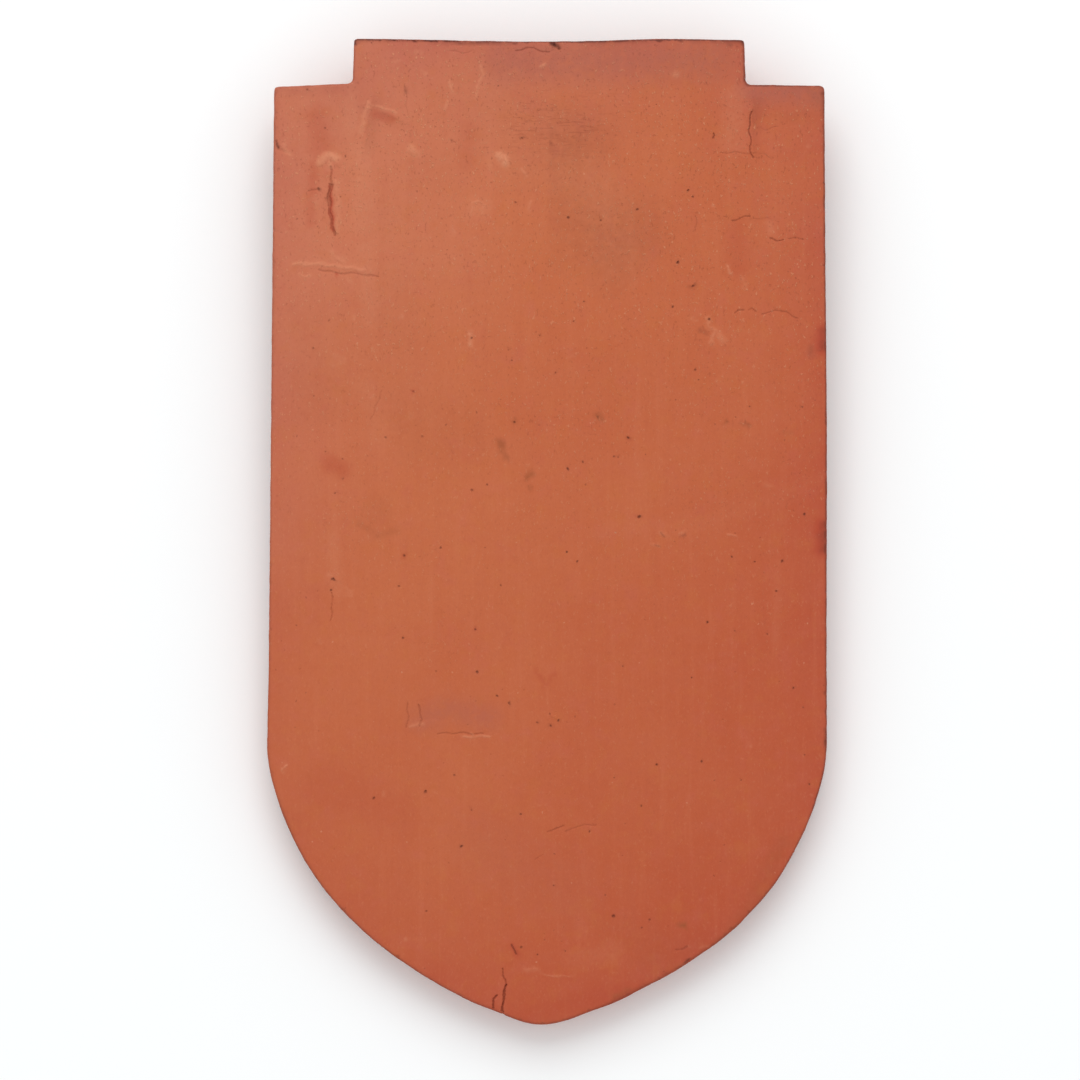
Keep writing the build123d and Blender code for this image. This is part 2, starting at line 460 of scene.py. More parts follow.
pits = (
    (-66.8, 128.0, 0.35), (-71.8, 119.5, 0.42), (-23.5, 122.7, 0.35), (-12.2, 119.5, 0.28),
    (-11.4, 116.0, 0.28), (-2.5, 124.0, 0.28), (-71.6, 105.0, 0.28), (-41.0, 106.5, 0.35),
    (-10.4, 97.5, 0.49), (-62.8, 86.0, 0.28), (-62.6, 80.2, 0.28), (-64.7, 75.7, 0.42), (-67.6, 88.3, 0.28),
    (-49.4, 92.7, 0.35), (-38.4, 93.0, 0.35), (-23.2, 76.5, 0.42), (-18.5, 78.2, 0.35), (-32.6, 59.3, 0.42),
    (-43.8, 56.5, 0.49), (10.7, 134.2, 0.35), (7.7, 128.0, 0.28), (37.5, 132.7, 0.35), (48.6, 128.7, 0.56),
    (44.7, 113.4, 0.35), (2.1, 112.3, 0.35), (77.2, 102.2, 0.28), (61.1, 102.2, 0.28), (24.2, 92.7, 0.42),
    (5.9, 83.1, 0.42), (10.4, 85.2, 0.35), (27.8, 68.6, 0.63), (78.1, 69.7, 0.42), (-45.5, 47.5, 0.42),
    (-14.3, 47.6, 0.28), (-22.0, 34.4, 0.35), (-44.3, 31.8, 0.35), (-21.3, 21.3, 0.49), (-15.2, 14.1, 0.42),
    (-11.5, 11.8, 0.42), (-3.1, 6.2, 0.35), (0.6, 8.8, 0.35), (3.2, 6.8, 0.42), (1.2, 5.0, 0.35),
    (-28.5, -10.2, 0.35), (-37.2, -15.2, 0.56), (-52.9, -17.1, 0.42), (9.0, 55.0, 0.35), (55.9, 56.7, 0.35),
    (71.4, 55.3, 0.42), (69.7, 46.2, 0.42), (48.4, 36.9, 0.49), (22.6, 23.1, 0.28), (43.7, 19.7, 0.42),
    (74.6, 16.9, 0.42), (33.4, -6.6, 0.56), (47.0, -5.7, 0.42), (28.8, -19.3, 0.35), (79.9, -12.4, 0.35),
    (-23.2, -20.5, 0.28), (-8.2, -22.0, 0.35), (-26.2, -31.6, 0.42), (-36.5, -51.6, 0.35),
    (2.2, -43.5, 0.28), (-7.6, -62.5, 0.42), (-2.7, -64.4, 0.35), (12.9, -26.9, 0.35), (20.4, -53.0, 0.63),
    (31.1, -54.1, 0.35), (28.7, -56.5, 0.28), (5.5, -63.7, 0.28), (-62.0, 178.0, 0.35),
    (-73.8, 198.5, 0.42), (-10.4, 164.4, 0.35), (-8.1, 183.6, 0.49), (42.3, 168.0, 0.56),
    (43.9, 166.0, 0.35), (39.3, 146.0, 0.63), (26.8, 162.3, 0.42), (15.6, 158.9, 0.42), (5.7, 159.9, 0.49),
    (43.8, 139.1, 0.42), (-70.1, 168.0, 0.49), (-65.3, 49.2, 0.49), (-65.8, 46.3, 0.42),
    (-15.7, 199.8, 0.28), (-29.8, 183.1, 0.35), (-63.3, 165.9, 0.28), (1.5, 212.5, 0.63),
    (2.8, 211.2, 0.56), (-68.4, 186.5, 0.35), (5.5, 58.1, 0.35), (63.0, 55.2, 0.3), (57.1, 34.3, 0.28),
    (66.7, 33.1, 0.28), (58.9, -11.1, 0.28), (78.2, -3.7, 0.28), (77.8, 10.7, 0.28), (20.4, -10.5, 0.28),
    (45.6, 110.6, 0.3), (20.2, 86.9, 0.3), (21.4, 86.7, 0.28),
)
chips = (
    ([(-83.2, 182.3)], 1.6, 0.5),
    ([(-82.4, 180.3), (-78.8, 178.7)], 1.4, 0.2),
    ([(83.9, 170.7)], 1.5, 0.6),
    ([(84.0, 153.2)], 1.2, 0.4),
    ([(84.6, 123.5), (84.6, 120.0)], 2.2, 0.2),
    ([(84.8, 64.0), (84.8, 58.0)], 2.4, 0.25),
    ([(85.0, 18.0)], 1.2, 0.3),
    ([(85.0, -1.5), (85.0, 0.5)], 1.6, 0.35),
    ([(1.0, 213.3)], 2.2, 0.6),
    ([(-47.4, 213.8)], 1.4, 0.4),
    ([(-55.0, 214.0), (-51.5, 214.0)], 1.6, 0.3),
    ([(42.0, -67.3), (44.0, -66.0)], 1.8, 0.35),
    ([(20.0, -79.0), (30.0, -74.2)], 2.6, 0.12),
    ([(56.0, -56.8)], 2.0, 0.2),
)
rub_count = 90
rub_widths = (0.9, 3.0)
rub_depths = (0.06, 0.22)
pore_count = 240
pore_radii = (0.16, 0.28)
pit_depth = 0.75
ledge_width = 0.7
finest_mark = 0.03
bed_share = 0.08
finer_margins = (1.0, 0.5)
most_triangles = 188000
random = np.random.default_rng(19)


def along(points, reach, spots):
    """Which spots are within reach of a line through some points, how far, and how far to its right."""
    line = np.array([[*point, slab_thickness / MM][:3] for point in points]) * MM
    inside = (spots > line.min(axis=0) - reach) & (spots < line.max(axis=0) + reach)
    numbers = np.flatnonzero(inside.all(axis=1))
    spots = spots[numbers]
    nearest = np.linalg.norm(spots - line[0], axis=1)
    rightward = np.zeros(len(spots))
    for start, stop in zip(line, line[1:]):
        run = stop - start
        share = np.clip((spots - start) @ run / (run @ run), 0, 1)
        gap = spots - start - share[:, None] * run
        distance = np.linalg.norm(gap, axis=1)
        side = (gap[:, 0] * run[1] - gap[:, 1] * run[0]) / np.linalg.norm(run)
        rightward = np.where(distance <= nearest, side, rightward)
        nearest = np.minimum(distance, nearest)
    return numbers, nearest, rightward


def wander(spots):
    """Spots shifted a little to and fro, so that no mark drawn through them has a ruled edge."""
    bend = 0.20
    kink = 0.05
    x, y = spots.T[:2] / MM
    shift_x = bend * np.sin(1.3 * y + 1.7 * np.sin(0.7 * x))
    shift_x += kink * np.sin(5.3 * y + 2.2 * np.sin(3.1 * x))
    shift_y = bend * np.sin(1.1 * x + 1.9 * np.sin(0.8 * y))
    shift_y += kink * np.sin(4.7 * x + 2.4 * np.sin(3.7 * y))
    return spots + MM * np.stack([shift_x, shift_y, np.zeros(len(spots))], axis=1)


def stroke(layer, spots, points, width, strength):
    """Bring a layer up to a strength on a line through some points, falling to 0 at its edges."""
    half = width * MM / 2
    numbers, distance, rightward = along(points, half, spots)
    bell = np.clip(1 - (distance / half) ** 2, 0, 1) ** 2
    layer[numbers] = np.maximum(layer[numbers], strength * bell)


def step_down(layer, spots, points, reach, strength):
    """Bring a layer up to a strength just right of a line through some points, fading over a reach."""
    numbers, distance, rightward = along(points, reach * MM, spots)
    slope = np.clip(rightward / (ledge_width * MM), 0, 1) * np.clip(1 - distance / (reach * MM), 0, 1)
    layer[numbers] = np.maximum(layer[numbers], strength * slope)


def relief(spots, margin=0.0):
    """How far each spot is sunk, and how far it is raised, by all the marks, in millimetres.
    A margin, in millimetres too, widens every mark."""
    sunk, raised = np.zeros(len(spots)), np.zeros(len(spots))
    spots = wander(spots)
    for points, width, depth in (*cuts, *chips, *rubs):
        stroke(sunk, spots, points, width + margin, depth)
    for x, y, radius in (*pits, *pores):
        stroke(sunk, spots, [(x, y)], 2 * radius + margin, pit_depth * radius)
    for points, reach, depth in ledges:
        step_down(sunk, spots, points, reach, depth)
    for points, width, height in dabs:
        stroke(raised, spots, points, width, height)
    return sunk, raised


def choose(chosen):
    """Select the tile's corners that are marked true, and open the tile in edit mode."""
    alone(tile)
    tile.data.vertices.foreach_set("select", chosen)
    tile.data.edges.foreach_set("select", np.zeros(len(tile.data.edges), bool))
    tile.data.polygons.foreach_set("select", np.zeros(len(tile.data.polygons), bool))
    bpy.ops.object.mode_set(mode="EDIT")
    bpy.ops.mesh.select_mode(type="VERT")


places = places_of(tile.data)
rim = places[np.abs(places[:, 2] - slab_thickness + arris_radius / 3) < arris_radius / 6]
rubs = []
for place in random.choice(rim, rub_count):
    rubs.append(([tuple(place / MM)], random.uniform(*rub_widths), random.uniform(*rub_depths)))
inner = places[places[:, 2] > slab_thickness - arris_radius / 3]
pores = [(x / MM, y / MM, random.uniform(*pore_radii)) for x, y, z in random.choice(inner, pore_count)]

# The bed carries no marks, so its skin can be coarse; round the marks it is made finer, twice
choose(places[:, 2] < slab_thickness / 4)
bpy.ops.mesh.decimate(ratio=bed_share)
bpy.ops.object.mode_set(mode="OBJECT")
for margin in finer_margins:
    places = places_of(tile.data)
    choose(np.maximum(*relief(places, margin)) > finest_mark)
    bpy.ops.mesh.select_more()
    bpy.ops.mesh.subdivide(number_cuts=1)
    bpy.ops.object.mode_set(mode="OBJECT")

sunk, raised = relief(places_of(tile.data))
weigh("sunk", sunk)
weigh("raised", raised)
finish_with("DISPLACE", direction="NORMAL", vertex_group="sunk", mid_level=0.0, strength=-MM)
finish_with("DISPLACE", direction="NORMAL", vertex_group="raised", mid_level=0.0, strength=MM)
tile.data.calc_loop_triangles()
finish_with("DECIMATE", ratio=min(1.0, most_triangles / len(tile.data.loop_triangles)))
finish_with("TRIANGULATE")
tile.vertex_groups.clear()
alone(tile)
bpy.ops.object.shade_smooth()

# The fired clay's colour
# Plain red clay, unglazed, warmer in the middle and redder and darker towards the right and the tail:
# partly the firing, partly painted shade. Pale dust lies on the left and at the head, dirt and painted
# shade darken the cuts, pits and chips, and painted shade darkens the upper arris.

# Patches of dirt, dust and colour are placed as the marks are: (places, width, strength)
# Dark patches of dirt, and painted shade in the chips, pits and cuts that many of them lie on
dirt_and_shade_marks = (
    ([(0.6, 212.9), (2.8, 211.7)], 2.2, 1.0),
    ([(54.6, 212.4), (57.6, 211.4)], 1.2, 0.4),
    ([(-83.0, 182.2), (-82.2, 180.6)], 1.2, 0.8),
    ([(-69.9, 168.0)], 1.6, 0.6),
    ([(-43.9, 198.8), (-43.4, 197.6)], 2.0, 0.4),
    ([(-8.6, 183.6), (-7.4, 183.8)], 1.0, 0.6),
    ([(42.3, 167.9)], 1.4, 0.5),
    ([(39.4, 145.9)], 1.4, 0.9),
    ([(43.2, 138.6), (44.6, 139.6)], 1.6, 0.5),
    ([(46.4, 125.8), (48.0, 124.8)], 2.4, 0.35),
    ([(83.8, 125.2), (83.6, 120.0)], 4.0, 0.3),
    ([(83.8, 66.5), (83.8, 58.5)], 4.0, 0.3),
    ([(79.6, 120.6), (79.8, 117.8)], 3.0, 0.25),
    ([(84.2, 176.6), (84.2, 175.0)], 2.0, 0.6),
    ([(84.2, 166.5), (84.2, 163.0)], 2.4, 0.5),
    ([(84.2, 155.0), (84.2, 152.5)], 1.8, 0.5),
    ([(84.6, 4.0), (84.8, -2.0)], 2.0, 0.4),
    ([(43.4, -66.0), (42.4, -67.0)], 2.2, 0.8),
    ([(-66.0, 49.0), (-65.5, 49.8), (-64.9, 49.0)], 0.8, 0.9),
    ([(-65.8, 46.3)], 1.0, 0.9),
    ([(-23.6, 122.8)], 1.0, 0.9),
    ([(15.2, 99.4), (16.0, 98.4)], 1.2, 0.5),
    ([(53.0, 97.4), (55.0, 97.2)], 0.9, 0.3),
    ([(58.2, 97.6), (60.4, 97.0)], 0.9, 0.3),
    ([(34.2, 64.2), (35.2, 62.8)], 0.9, 0.4),
    ([(40.4, 62.8), (41.6, 63.6)], 0.9, 0.4),
    ([(32.8, 60.2), (34.2, 59.4)], 0.9, 0.3),
    ([(-10.8, -61.6), (-9.4, -64.4)], 1.0, 0.6),
)
brown_marks = (
    ([(-14.4, 91.3), (-14.0, 88.6)], 4.0, 0.7),
    ([(-12.8, 87.0), (-12.2, 86.2)], 2.6, 0.6),
    ([(-6.6, 80.9), (-5.2, 81.7)], 2.6, 0.7),
    ([(-5.5, 77.0)], 2.0, 0.6),
    ([(-10.4, 97.6)], 2.2, 0.7),
    ([(15.0, 99.4), (16.0, 98.4)], 3.0, 0.9),
    ([(40.2, -55.6), (42.0, -55.4)], 2.8, 0.8),
    ([(25.0, -75.0), (20.5, -77.5)], 3.0, 0.4),
    ([(-57.5, 67.0), (-52.0, 62.5), (-46.0, 64.5)], 4.0, 0.25),
    ([(-52.0, 71.0), (-51.0, 69.0)], 13.0, 0.12),
    ([(-43.8, 56.5)], 1.6, 0.5),
    ([(24.2, 92.7), (25.4, 92.5)], 1.6, 0.45),
    ([(52.5, 97.5), (54.5, 97.3)], 1.8, 0.45),
    ([(58.5, 97.0), (60.5, 96.6)], 1.8, 0.45),
    ([(72.0, 94.6), (74.0, 94.4)], 2.0, 0.3),
    ([(50.0, -66.0), (62.0, -50.0), (72.0, -30.0)], 9.0, 0.2),
)
dust_marks = (
    ([(-70.0, 176.2), (-68.4, 177.8), (-66.4, 178.6), (-64.8, 177.4)], 4.1, 0.7),
    ([(-66.8, 176.5), (-66.6, 174.8)], 2.8, 0.45),
    ([(-65.0, 170.5), (-64.2, 165.0), (-64.2, 160.0), (-64.6, 155.0)], 2.8, 0.38),
    ([(-71.4, 165.6), (-70.6, 162.6)], 3.0, 0.26),
    ([(-77.5, 145.3), (-70.0, 145.4), (-62.0, 144.4), (-56.0, 143.6)], 2.3, 0.45),
    ([(-66.2, 149.0), (-64.4, 147.0), (-62.4, 145.8)], 3.0, 0.3),
    ([(-75.8, 142.2), (-74.4, 141.4), (-72.6, 142.0)], 1.6, 0.45),
    ([(-61.2, 140.8), (-60.0, 140.2)], 1.8, 0.34),
    ([(-55.0, 194.6), (-56.4, 190.0), (-57.2, 185.5)], 3.0, 0.42),
    ([(-54.0, 193.8), (-50.0, 192.7), (-46.5, 191.4)], 1.6, 0.4),
    ([(-60.0, 198.0), (-60.5, 186.0)], 8.0, 0.2),
    ([(-57.0, 180.0), (-57.0, 158.0)], 12.0, 0.2),
    ([(-56.0, 150.0), (-54.0, 128.0)], 8.0, 0.16),
    ([(-15.0, 178.4), (-14.2, 177.8), (-13.4, 176.4)], 5.0, 0.8),
    ([(-18.0, 179.0), (-18.0, 175.0)], 2.8, 0.19),
    ([(-20.8, 205.8), (-20.4, 203.0), (-22.0, 199.0), (-22.4, 196.0)], 1.8, 0.34),
    ([(-30.5, 201.2), (-29.6, 197.6)], 1.7, 0.45),
    ([(-30.8, 195.2), (-31.8, 192.4)], 1.5, 0.38),
    ([(-40.8, 209.7), (-39.2, 209.4)], 2.1, 0.41),
    ([(-47.2, 206.8), (-45.8, 207.6)], 1.5, 0.3),
    ([(-38.8, 203.8), (-37.8, 203.4)], 1.8, 0.41),
    ([(-42.2, 180.6), (-40.6, 179.0)], 4.4, 0.5),
    ([(-58.5, 162.4), (-54.0, 163.4)], 2.1, 0.3),
    ([(-58.2, 171.0), (-55.6, 172.4)], 1.3, 0.34),
    ([(-80.8, 181.6), (-80.2, 179.6), (-78.8, 178.6)], 2.5, 0.38),
    ([(-2.4, 205.4), (-1.4, 206.2)], 1.8, 0.52),
    ([(-8.2, 174.2), (-7.0, 172.4)], 2.0, 0.3),
    ([(-5.2, 164.8), (-6.4, 162.2)], 1.4, 0.3),
    ([(-23.7, 161.0), (-23.4, 163.8), (-21.6, 164.9), (-19.5, 163.6), (-20.4, 160.6)], 1.7, 0.38),
    ([(-22.5, 162.5), (-20.5, 162.5)], 11.0, 0.25),
    ([(-24.8, 152.4)], 1.6, 0.45),
    ([(-29.0, 155.6), (-28.6, 154.6)], 1.6, 0.3),
    ([(3.8, 191.0)], 1.6, 0.38),
    ([(10.0, 172.0), (18.0, 162.0), (22.0, 149.0)], 28.0, 0.16),
    ([(20.7, 196.6)], 1.8, 0.3),
    ([(6.4, 208.8)], 2.1, 0.22),
    ([(38.0, 203.5), (39.4, 203.3)], 2.2, 0.45),
    ([(40.8, 209.7)], 1.4, 0.45),
    ([(56.0, 197.0), (56.0, 183.0)], 13.0, 0.2),
    ([(56.4, 198.4), (58.0, 198.4)], 1.4, 0.38),
    ([(78.8, 181.7)], 2.3, 0.3),
    ([(79.4, 188.4)], 2.1, 0.22),
    ([(50.0, 163.4)], 1.1, 0.52),
    ([(67.0, 158.0), (67.6, 155.5)], 3.4, 0.26),
    ([(54.6, 145.0), (54.8, 143.0)], 1.7, 0.52),
    ([(58.4, 141.2), (59.4, 141.0)], 1.6, 0.38),
    ([(60.0, 139.0), (60.2, 138.0)], 1.4, 0.38),
    ([(48.2, 129.2), (49.0, 126.5), (50.4, 125.4), (49.6, 121.6)], 2.8, 0.38),
    ([(51.6, 124.2), (53.2, 122.4)], 3.9, 0.3),
    ([(43.6, 128.9), (45.0, 128.9)], 1.4, 0.3),
    ([(50.6, 110.2), (53.0, 108.4)], 1.4, 0.19),
    ([(34.0, 64.0), (36.0, 63.2)], 2.5, 0.26),
    ([(40.4, 63.8), (42.0, 64.4)], 2.3, 0.22),
    ([(31.5, 60.6), (33.5, 59.8)], 2.3, 0.22),
    ([(16.0, 64.0), (45.0, 66.0), (82.0, 80.0)], 9.0, 0.06),
    ([(-25.6, 1.6), (-17.6, 1.8)], 1.4, 0.45),
    ([(-23.4, 2.8), (-22.6, 2.2)], 1.5, 0.38),
    ([(-41.6, 4.6), (-38.0, 5.6)], 1.8, 0.3),
    ([(-80.7, -9.0), (-79.6, -7.0)], 1.3, 0.52),
    ([(-6.8, -69.0), (-3.0, -69.2)], 2.1, 0.22),
    ([(-1.3, -70.7), (4.0, -71.2), (8.6, -71.2)], 1.0, 0.3),
    ([(8.0, -66.0), (20.0, -64.0)], 10.0, 0.1),
    ([(43.0, -62.2), (49.7, -62.2)], 1.0, 0.22),
    ([(-25.3, 198.4)], 1.1, 0.75),
    ([(73.4, 102.6)], 1.1, 0.75),
    ([(-19.1, 163.4)], 1.0, 0.6),
    ([(-76.9, 185.4)], 1.0, 0.52),
    ([(-43.0, -60.1)], 1.4, 0.45),
    ([(-49.7, -15.7)], 1.5, 0.38),
    ([(-35.0, -15.0)], 1.4, 0.3),
    ([(61.7, -1.0)], 1.6, 0.26),
    ([(80.3, -15.8)], 1.6, 0.3),
    ([(-69.9, 28.8), (-68.9, 30.0)], 1.0, 0.3),
    ([(-59.6, 129.4), (-59.6, 128.4)], 1.6, 0.45),
    ([(-44.9, 129.5)], 1.6, 0.38),
    ([(-53.6, 119.4), (-52.4, 119.4)], 1.4, 0.38),
    ([(-69.4, 107.2), (-68.4, 107.6)], 1.6, 0.38),
    ([(-55.0, 105.2), (-53.2, 105.0)], 1.1, 0.34),
    ([(-65.0, 117.0), (-62.0, 116.0), (-66.0, 114.5)], 3.0, 0.22),
    ([(-38.7, 107.7)], 1.6, 0.34),
    ([(-41.0, 104.4)], 1.8, 0.3),
    ([(-24.0, 124.2), (-23.8, 120.6)], 2.4, 0.55),
    ([(-43.4, 98.0), (-42.2, 99.6)], 1.6, 0.3),
    ([(-37.9, 81.0)], 2.1, 0.22),
    ([(-55.0, 108.0), (-52.0, 92.0)], 9.0, 0.12),
    ([(-66.0, 62.0), (-64.0, 46.0)], 8.0, 0.14),
    ([(7.7, 118.0)], 2.1, 0.22),
    ([(70.0, 55.0), (69.5, 28.0)], 4.6, 0.08),
    ([(66.0, 78.5), (68.5, 77.8)], 1.8, 0.19),
    ([(55.0, 63.2), (57.4, 63.0)], 1.4, 0.3),
    ([(-66.8, 50.6), (-64.4, 50.6)], 2.6, 0.3),
    ([(-61.6, 46.6), (-60.0, 44.8)], 2.4, 0.3),
)
burnt_marks = (
    ([(-66.6, 84.6), (-62.6, 82.6)], 8.6, 0.42),
    ([(-71.0, 190.0), (-69.0, 180.5)], 11.0, 0.3),
    ([(-53.0, 191.0), (-48.0, 189.5)], 4.5, 0.4),
    ([(-71.5, 176.0), (-72.5, 158.0)], 5.0, 0.3),
    ([(-66.6, 169.0), (-66.4, 161.0), (-65.6, 156.0)], 2.2, 0.9),
    ([(57.0, 156.0), (57.0, 145.0)], 11.0, 0.3),
    ([(-25.0, 186.0), (-25.0, 176.0)], 9.0, 0.2),
    ([(-64.4, 142.2)], 1.8, 0.6),
    ([(-41.0, 106.6)], 2.0, 0.5),
    ([(-44.0, 56.5)], 3.0, 0.4),
    ([(7.8, 118.0)], 6.0, 0.2),
    ([(-10.0, -84.0), (30.0, -73.0)], 8.0, 0.2),
    ([(-46.0, -22.0), (-66.0, -14.0)], 24.0, 0.18),
    ([(83.0, 125.2), (82.8, 120.0)], 6.0, 0.9),
    ([(83.0, 66.5), (83.0, 58.5)], 7.0, 0.9),
    ([(-22.0, 34.4)], 1.8, 0.5),
    ([(2.2, 20.8), (-1.0, 17.5), (-3.8, 22.5)], 2.4, 0.35),
    ([(24.4, 92.7)], 2.4, 0.4),
    ([(-10.6, -62.0), (-9.0, -64.4)], 3.4, 0.5),
)
crazed_marks = (
    ([(-6.0, 187.0), (10.0, 186.0)], 26.0, 0.9),
    ([(-8.0, 196.0), (20.0, 194.0)], 18.0, 0.5),
)
grey_marks = (
    ([(-38.0, 7.0), (-30.0, 10.0), (-18.0, 7.5)], 14.0, 0.4),
    ([(-14.0, 207.0), (50.0, 208.0)], 22.0, 0.6),
    ([(62.0, 199.0), (84.0, 198.0)], 15.0, 0.7),
    ([(-84.0, 198.5), (-60.0, 199.5)], 7.0, 0.3),
    ([(0.0, 190.0), (16.0, 188.0)], 26.0, 0.1),
    ([(-20.0, -30.0), (5.0, -45.0)], 34.0, 0.14),
)


def lay(name, marks):
    """Store a layer of marks on the tile's corners, where its material can read it by name."""
    spots = wander(places_of(tile.data))
    layer = np.zeros(len(spots))
    for points, width, strength in marks:
        stroke(layer, spots, points, width, strength)
    keep(name, layer)


def keep(name, layer):
    """Store one value for each of the tile's corners."""
    tile.data.attributes.new(name, "FLOAT", "POINT").data.foreach_set("value", layer)


# Every cut, pit and pore is painted darker, most the deepest: settled dirt and painted shade
hollow_shade_and_dirt = [(points, 0.8 * width, min(0.6, 1.4 * depth)) for points, width, depth in cuts]
hollow_shade_and_dirt += [([(x, y)], 2.2 * radius + 0.25, min(0.9, 2.5 * radius)) for x, y, radius in pits]
hollow_shade_and_dirt += [([(x, y)], 2.0 * radius, radius) for x, y, radius in pores]
lay("dirt_and_shade", (*dirt_and_shade_marks, *hollow_shade_and_dirt))
lay("brown", brown_marks)
lay("dust", dust_marks)
lay("burnt", burnt_marks)
lay("crazed", crazed_marks)
lay("grey", grey_marks)

# The clay is greyer and darker towards its outline, and the upper arris carries painted shade,
# most along the head and least on the left
grey_reach = 0.014
head_band = 0.002
tail_start = -0.02
rim_on_head = 1.0
rim_on_tail = 0.4
rim_on_right = 0.7
rim_on_left = 0.25
spots = places_of(tile.data)
on_outline = np.abs(spots[:, 2] - slab_thickness / 2) < slab_thickness / 2 - arris_radius
outline = spots[on_outline & (np.abs(spots[:, 2] - slab_thickness / 2) < skin_grid)]
edge = kdtree.KDTree(len(outline))
for number, spot in enumerate(outline):
    edge.insert((spot[0], spot[1], 0.0), number)
edge.balance()
from_outline = np.array([edge.find((x, y, 0.0))[2] for x, y, z in spots])
keep("outer", np.exp(-from_outline / grey_reach))
on_head = spots[:, 1] > head_y - head_band
rim_shade_peak = np.where(spots[:, 0] > 0, rim_on_right, rim_on_left)
rim_shade_peak = np.where(spots[:, 1] < tail_start, rim_on_tail, rim_shade_peak)
rim_shade_peak = np.where(on_head, rim_on_head, rim_shade_peak)

# How far down the arris the painted shade starts, is full and has gone again, in arris radii
head_onset = 0.22
side_start = 0.05
side_onset = 0.35
rim_end = 2.2
rim_fade = 1.4
drop = np.clip((slab_thickness - spots[:, 2]) / arris_radius, 0, 3)
onset = np.where(on_head, drop / head_onset, (drop - side_start) / side_onset)
keep("rim", rim_shade_peak * np.clip(onset, 0, 1) * np.clip((rim_end - drop) / rim_fade, 0, 1))

clay = bpy.data.materials.new("fired_clay")
clay.use_nodes = True
tree = clay.node_tree
tree.nodes.clear()


def swatch(red, green, blue):
    """A colour as a screen shows it, 0 to 255 a channel, made linear for the material."""
    shown = np.array([red, green, blue]) / 255
    linear = np.where(shown < 0.04045, shown / 12.92, ((shown + 0.055) / 1.055) ** 2.4)
    return (*linear.tolist(), 1.0)


warm_clay = swatch(195, 112, 72)
deep_red = swatch(168, 60, 36)
dust_film = swatch(198, 122, 96)
head_margin = swatch(170, 84, 76)
tail_margin = swatch(172, 73, 53)
pink_mottle = swatch(186, 93, 77)
yellow_mottle = swatch(186, 105, 52)
brown_mottle = swatch(170, 82, 53)
dark_grain = swatch(143, 68, 46)
light_grain = swatch(210, 128, 88)
dark_fleck = swatch(144, 72, 48)
light_fleck = swatch(214, 143, 106)
light_streak = swatch(201, 119, 86)
dark_streak = swatch(170, 82, 57)
greyed_clay = swatch(166, 92, 76)
burnt_clay = swatch(170, 70, 48)
crack_colour = swatch(128, 58, 40)
dust_smear = swatch(208, 137, 104)
brown_stain = swatch(146, 78, 46)
dirt_and_shade_colour = swatch(88, 42, 30)
rim_shade_colour = swatch(99, 46, 35)
dark_grog = swatch(108, 50, 35)
light_grog = swatch(206, 139, 108)


def node(kind, inputs=None, **settings):
    """Add a node with its settings. A socket among its inputs is linked, and a value is set."""
    made = tree.nodes.new("ShaderNode" + kind)
    for name, value in settings.items():
        setattr(made, name, value)
    for name, value in (inputs or {}).items():
        if isinstance(value, bpy.types.NodeSocket):
            tree.links.new(value, made.inputs[name])
        else:
            made.inputs[name].default_value = value
    return made


def blend(under, over, share, how="MIX"):
    """Lay one colour over another by a share."""
    return node("Mix", {0: share, 6: under, 7: over}, data_type="RGBA", blend_type=how).outputs[2]


def sum_up(how, first, second):
    """One step of arithmetic, such as ADD or MULTIPLY."""
    return node("Math", {0: first, 1: second}, operation=how).outputs[0]


def ease(value, low, high, out_low=0.0, out_high=1.0):
    """Ease a value from one range into another."""
    inputs = {"Value": value, "From Min": low, "From Max": high, "To Min": out_low, "To Max": out_high}
    return node("MapRange", inputs, interpolation_type="SMOOTHSTEP").outputs[0]


def cloud(scale, detail=2.0, roughness=0.5, where=None):
    """Soft noise, so many waves to the metre."""
    inputs = {"Vector": where or coordinates, "Scale": scale, "Detail": detail, "Roughness": roughness}
    return node("TexNoise", inputs).outputs["Fac"]


def layer(name):
    """One of the layers of marks."""
    return node("Attribute", attribute_name=name).outputs["Fac"]


def off_middle(value, spread):
    """A soft noise made to swing by so much about 0."""
    return sum_up("MULTIPLY", sum_up("SUBTRACT", value, 0.5), spread)


coordinates = node("TexCoord").outputs["Object"]
position = node("SeparateXYZ", {0: coordinates}).outputs
across = sum_up("MULTIPLY", position["X"], 1 / half_width)
along_tile = sum_up("MULTIPLY", position["Y"], 2 / tile_length)

# Firing and painted shade: warmer in the middle of the head, redder and darker to the right and tail
redder = sum_up("SUBTRACT", sum_up("MULTIPLY", across, 0.091), sum_up("MULTIPLY", along_tile, 0.125))
redder = sum_up("ADD", redder, off_middle(cloud(24.0, 3.0), 0.22))
colour = blend(warm_clay, deep_red, ease(redder, -0.411, 0.589))
# Dust, thickest on the left and at the head
dustier = sum_up("SUBTRACT", sum_up("MULTIPLY", along_tile, 0.866), sum_up("MULTIPLY", across, 0.707))
dustier = sum_up("ADD", dustier, off_middle(cloud(32.0, 4.0, 0.6), 0.7))
colour = blend(colour, dust_film, ease(dustier, 0.333, 1.333, 0.0, 0.55))
# Greyer and darker towards the outline, least on the left: greyer at the head, redder at the tail
outer = sum_up("MULTIPLY", layer("outer"), ease(cloud(40.0, 3.0), 0.2, 0.8, 0.3, 0.7))
low_right = sum_up("SUBTRACT", sum_up("MULTIPLY", across, 0.5), along_tile)
margin_colour = blend(head_margin, tail_margin, ease(low_right, -1.2, 0.4))
outer = sum_up("MULTIPLY", outer, ease(across, -1.0, -0.2, 0.65, 1.0))
colour = blend(colour, margin_colour, outer)
